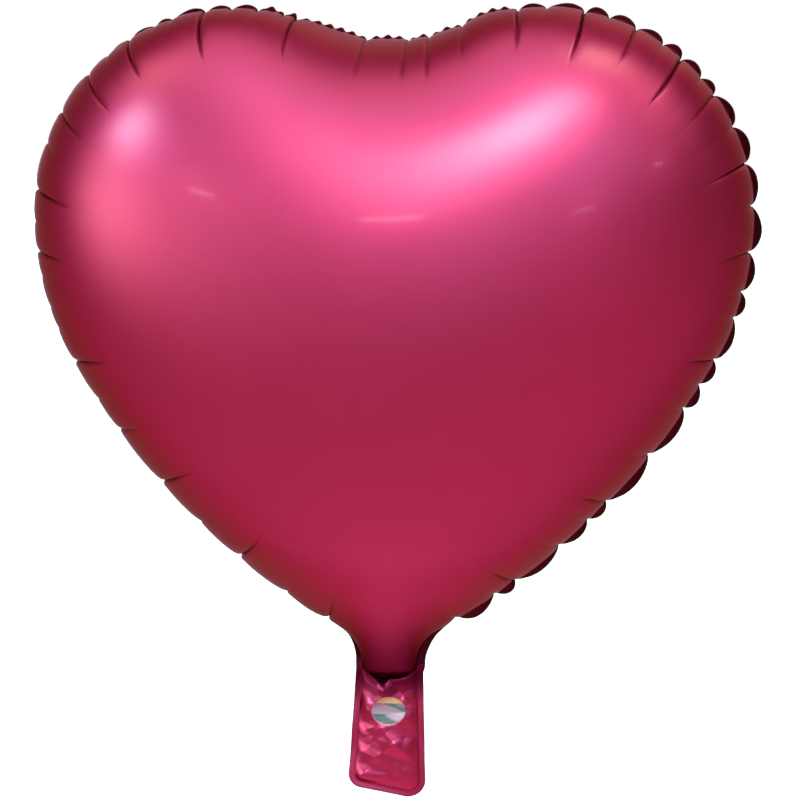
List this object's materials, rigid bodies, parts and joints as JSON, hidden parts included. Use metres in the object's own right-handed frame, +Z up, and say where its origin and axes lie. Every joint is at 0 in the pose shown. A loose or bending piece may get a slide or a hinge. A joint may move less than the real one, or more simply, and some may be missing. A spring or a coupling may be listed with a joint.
{
  "type": "heart-shaped foil balloon",
  "caption": "Inflated heart-shaped foil balloon with a scalloped welded seam and a flat neck that holds an oval fill hole and a clear valve sleeve.",
  "frame": {"origin": "the neck root, on the seam plane, midway across the neck, where the neck folds and a ribbon is tied", "axes": "+Z up through the cleft of the heart, the front faces -Y, +X to the right of a viewer in front"},
  "size_m": [0.3852, 0.1768, 0.4161],
  "materials": {
    "crimson_foil": "metallised film, satin crimson outside",
    "seam_foil": "two metallised films welded together, puckered",
    "neck_foil": "crumpled metallised film, crimson outside",
    "silver_foil": "metallised film, bare silver side",
    "clear_film": "thin clear polyethylene film",
    "release_ink": "orange heat-resistant ink"
  },
  "bodies": {
    "envelope": {"front_panel": "crimson_foil", "back_panel": "crimson_foil", "perimeter_seal": "seam_foil"},
    "neck": {"neck_front_ply": "neck_foil", "neck_back_ply": "silver_foil", "neck_edge_seal": "neck_foil", "valve_front_film": "clear_film", "valve_back_film": "clear_film", "valve_weld_left": "clear_film", "valve_weld_right": "clear_film", "valve_release_coat": "release_ink", "valve_tack_weld": "clear_film"},
    "sleeve": {"sleeve_front_film": "clear_film", "sleeve_back_film": "clear_film", "sleeve_weld_left": "clear_film", "sleeve_weld_right": "clear_film"}
  },
  "joints": [
    {"name": "neck_fold", "type": "hinge", "parent": "envelope", "child": "neck", "pos_m": [0, 0, 0], "axis": [1, 0, 0], "range_deg": [-100, 100]},
    {"name": "sleeve_flap", "type": "hinge", "parent": "envelope", "child": "sleeve", "pos_m": [0, 0, 0.009], "axis": [1, 0, 0], "range_deg": [-20, 20], "stiffness_Nm_per_rad": 0.003}
  ]
}
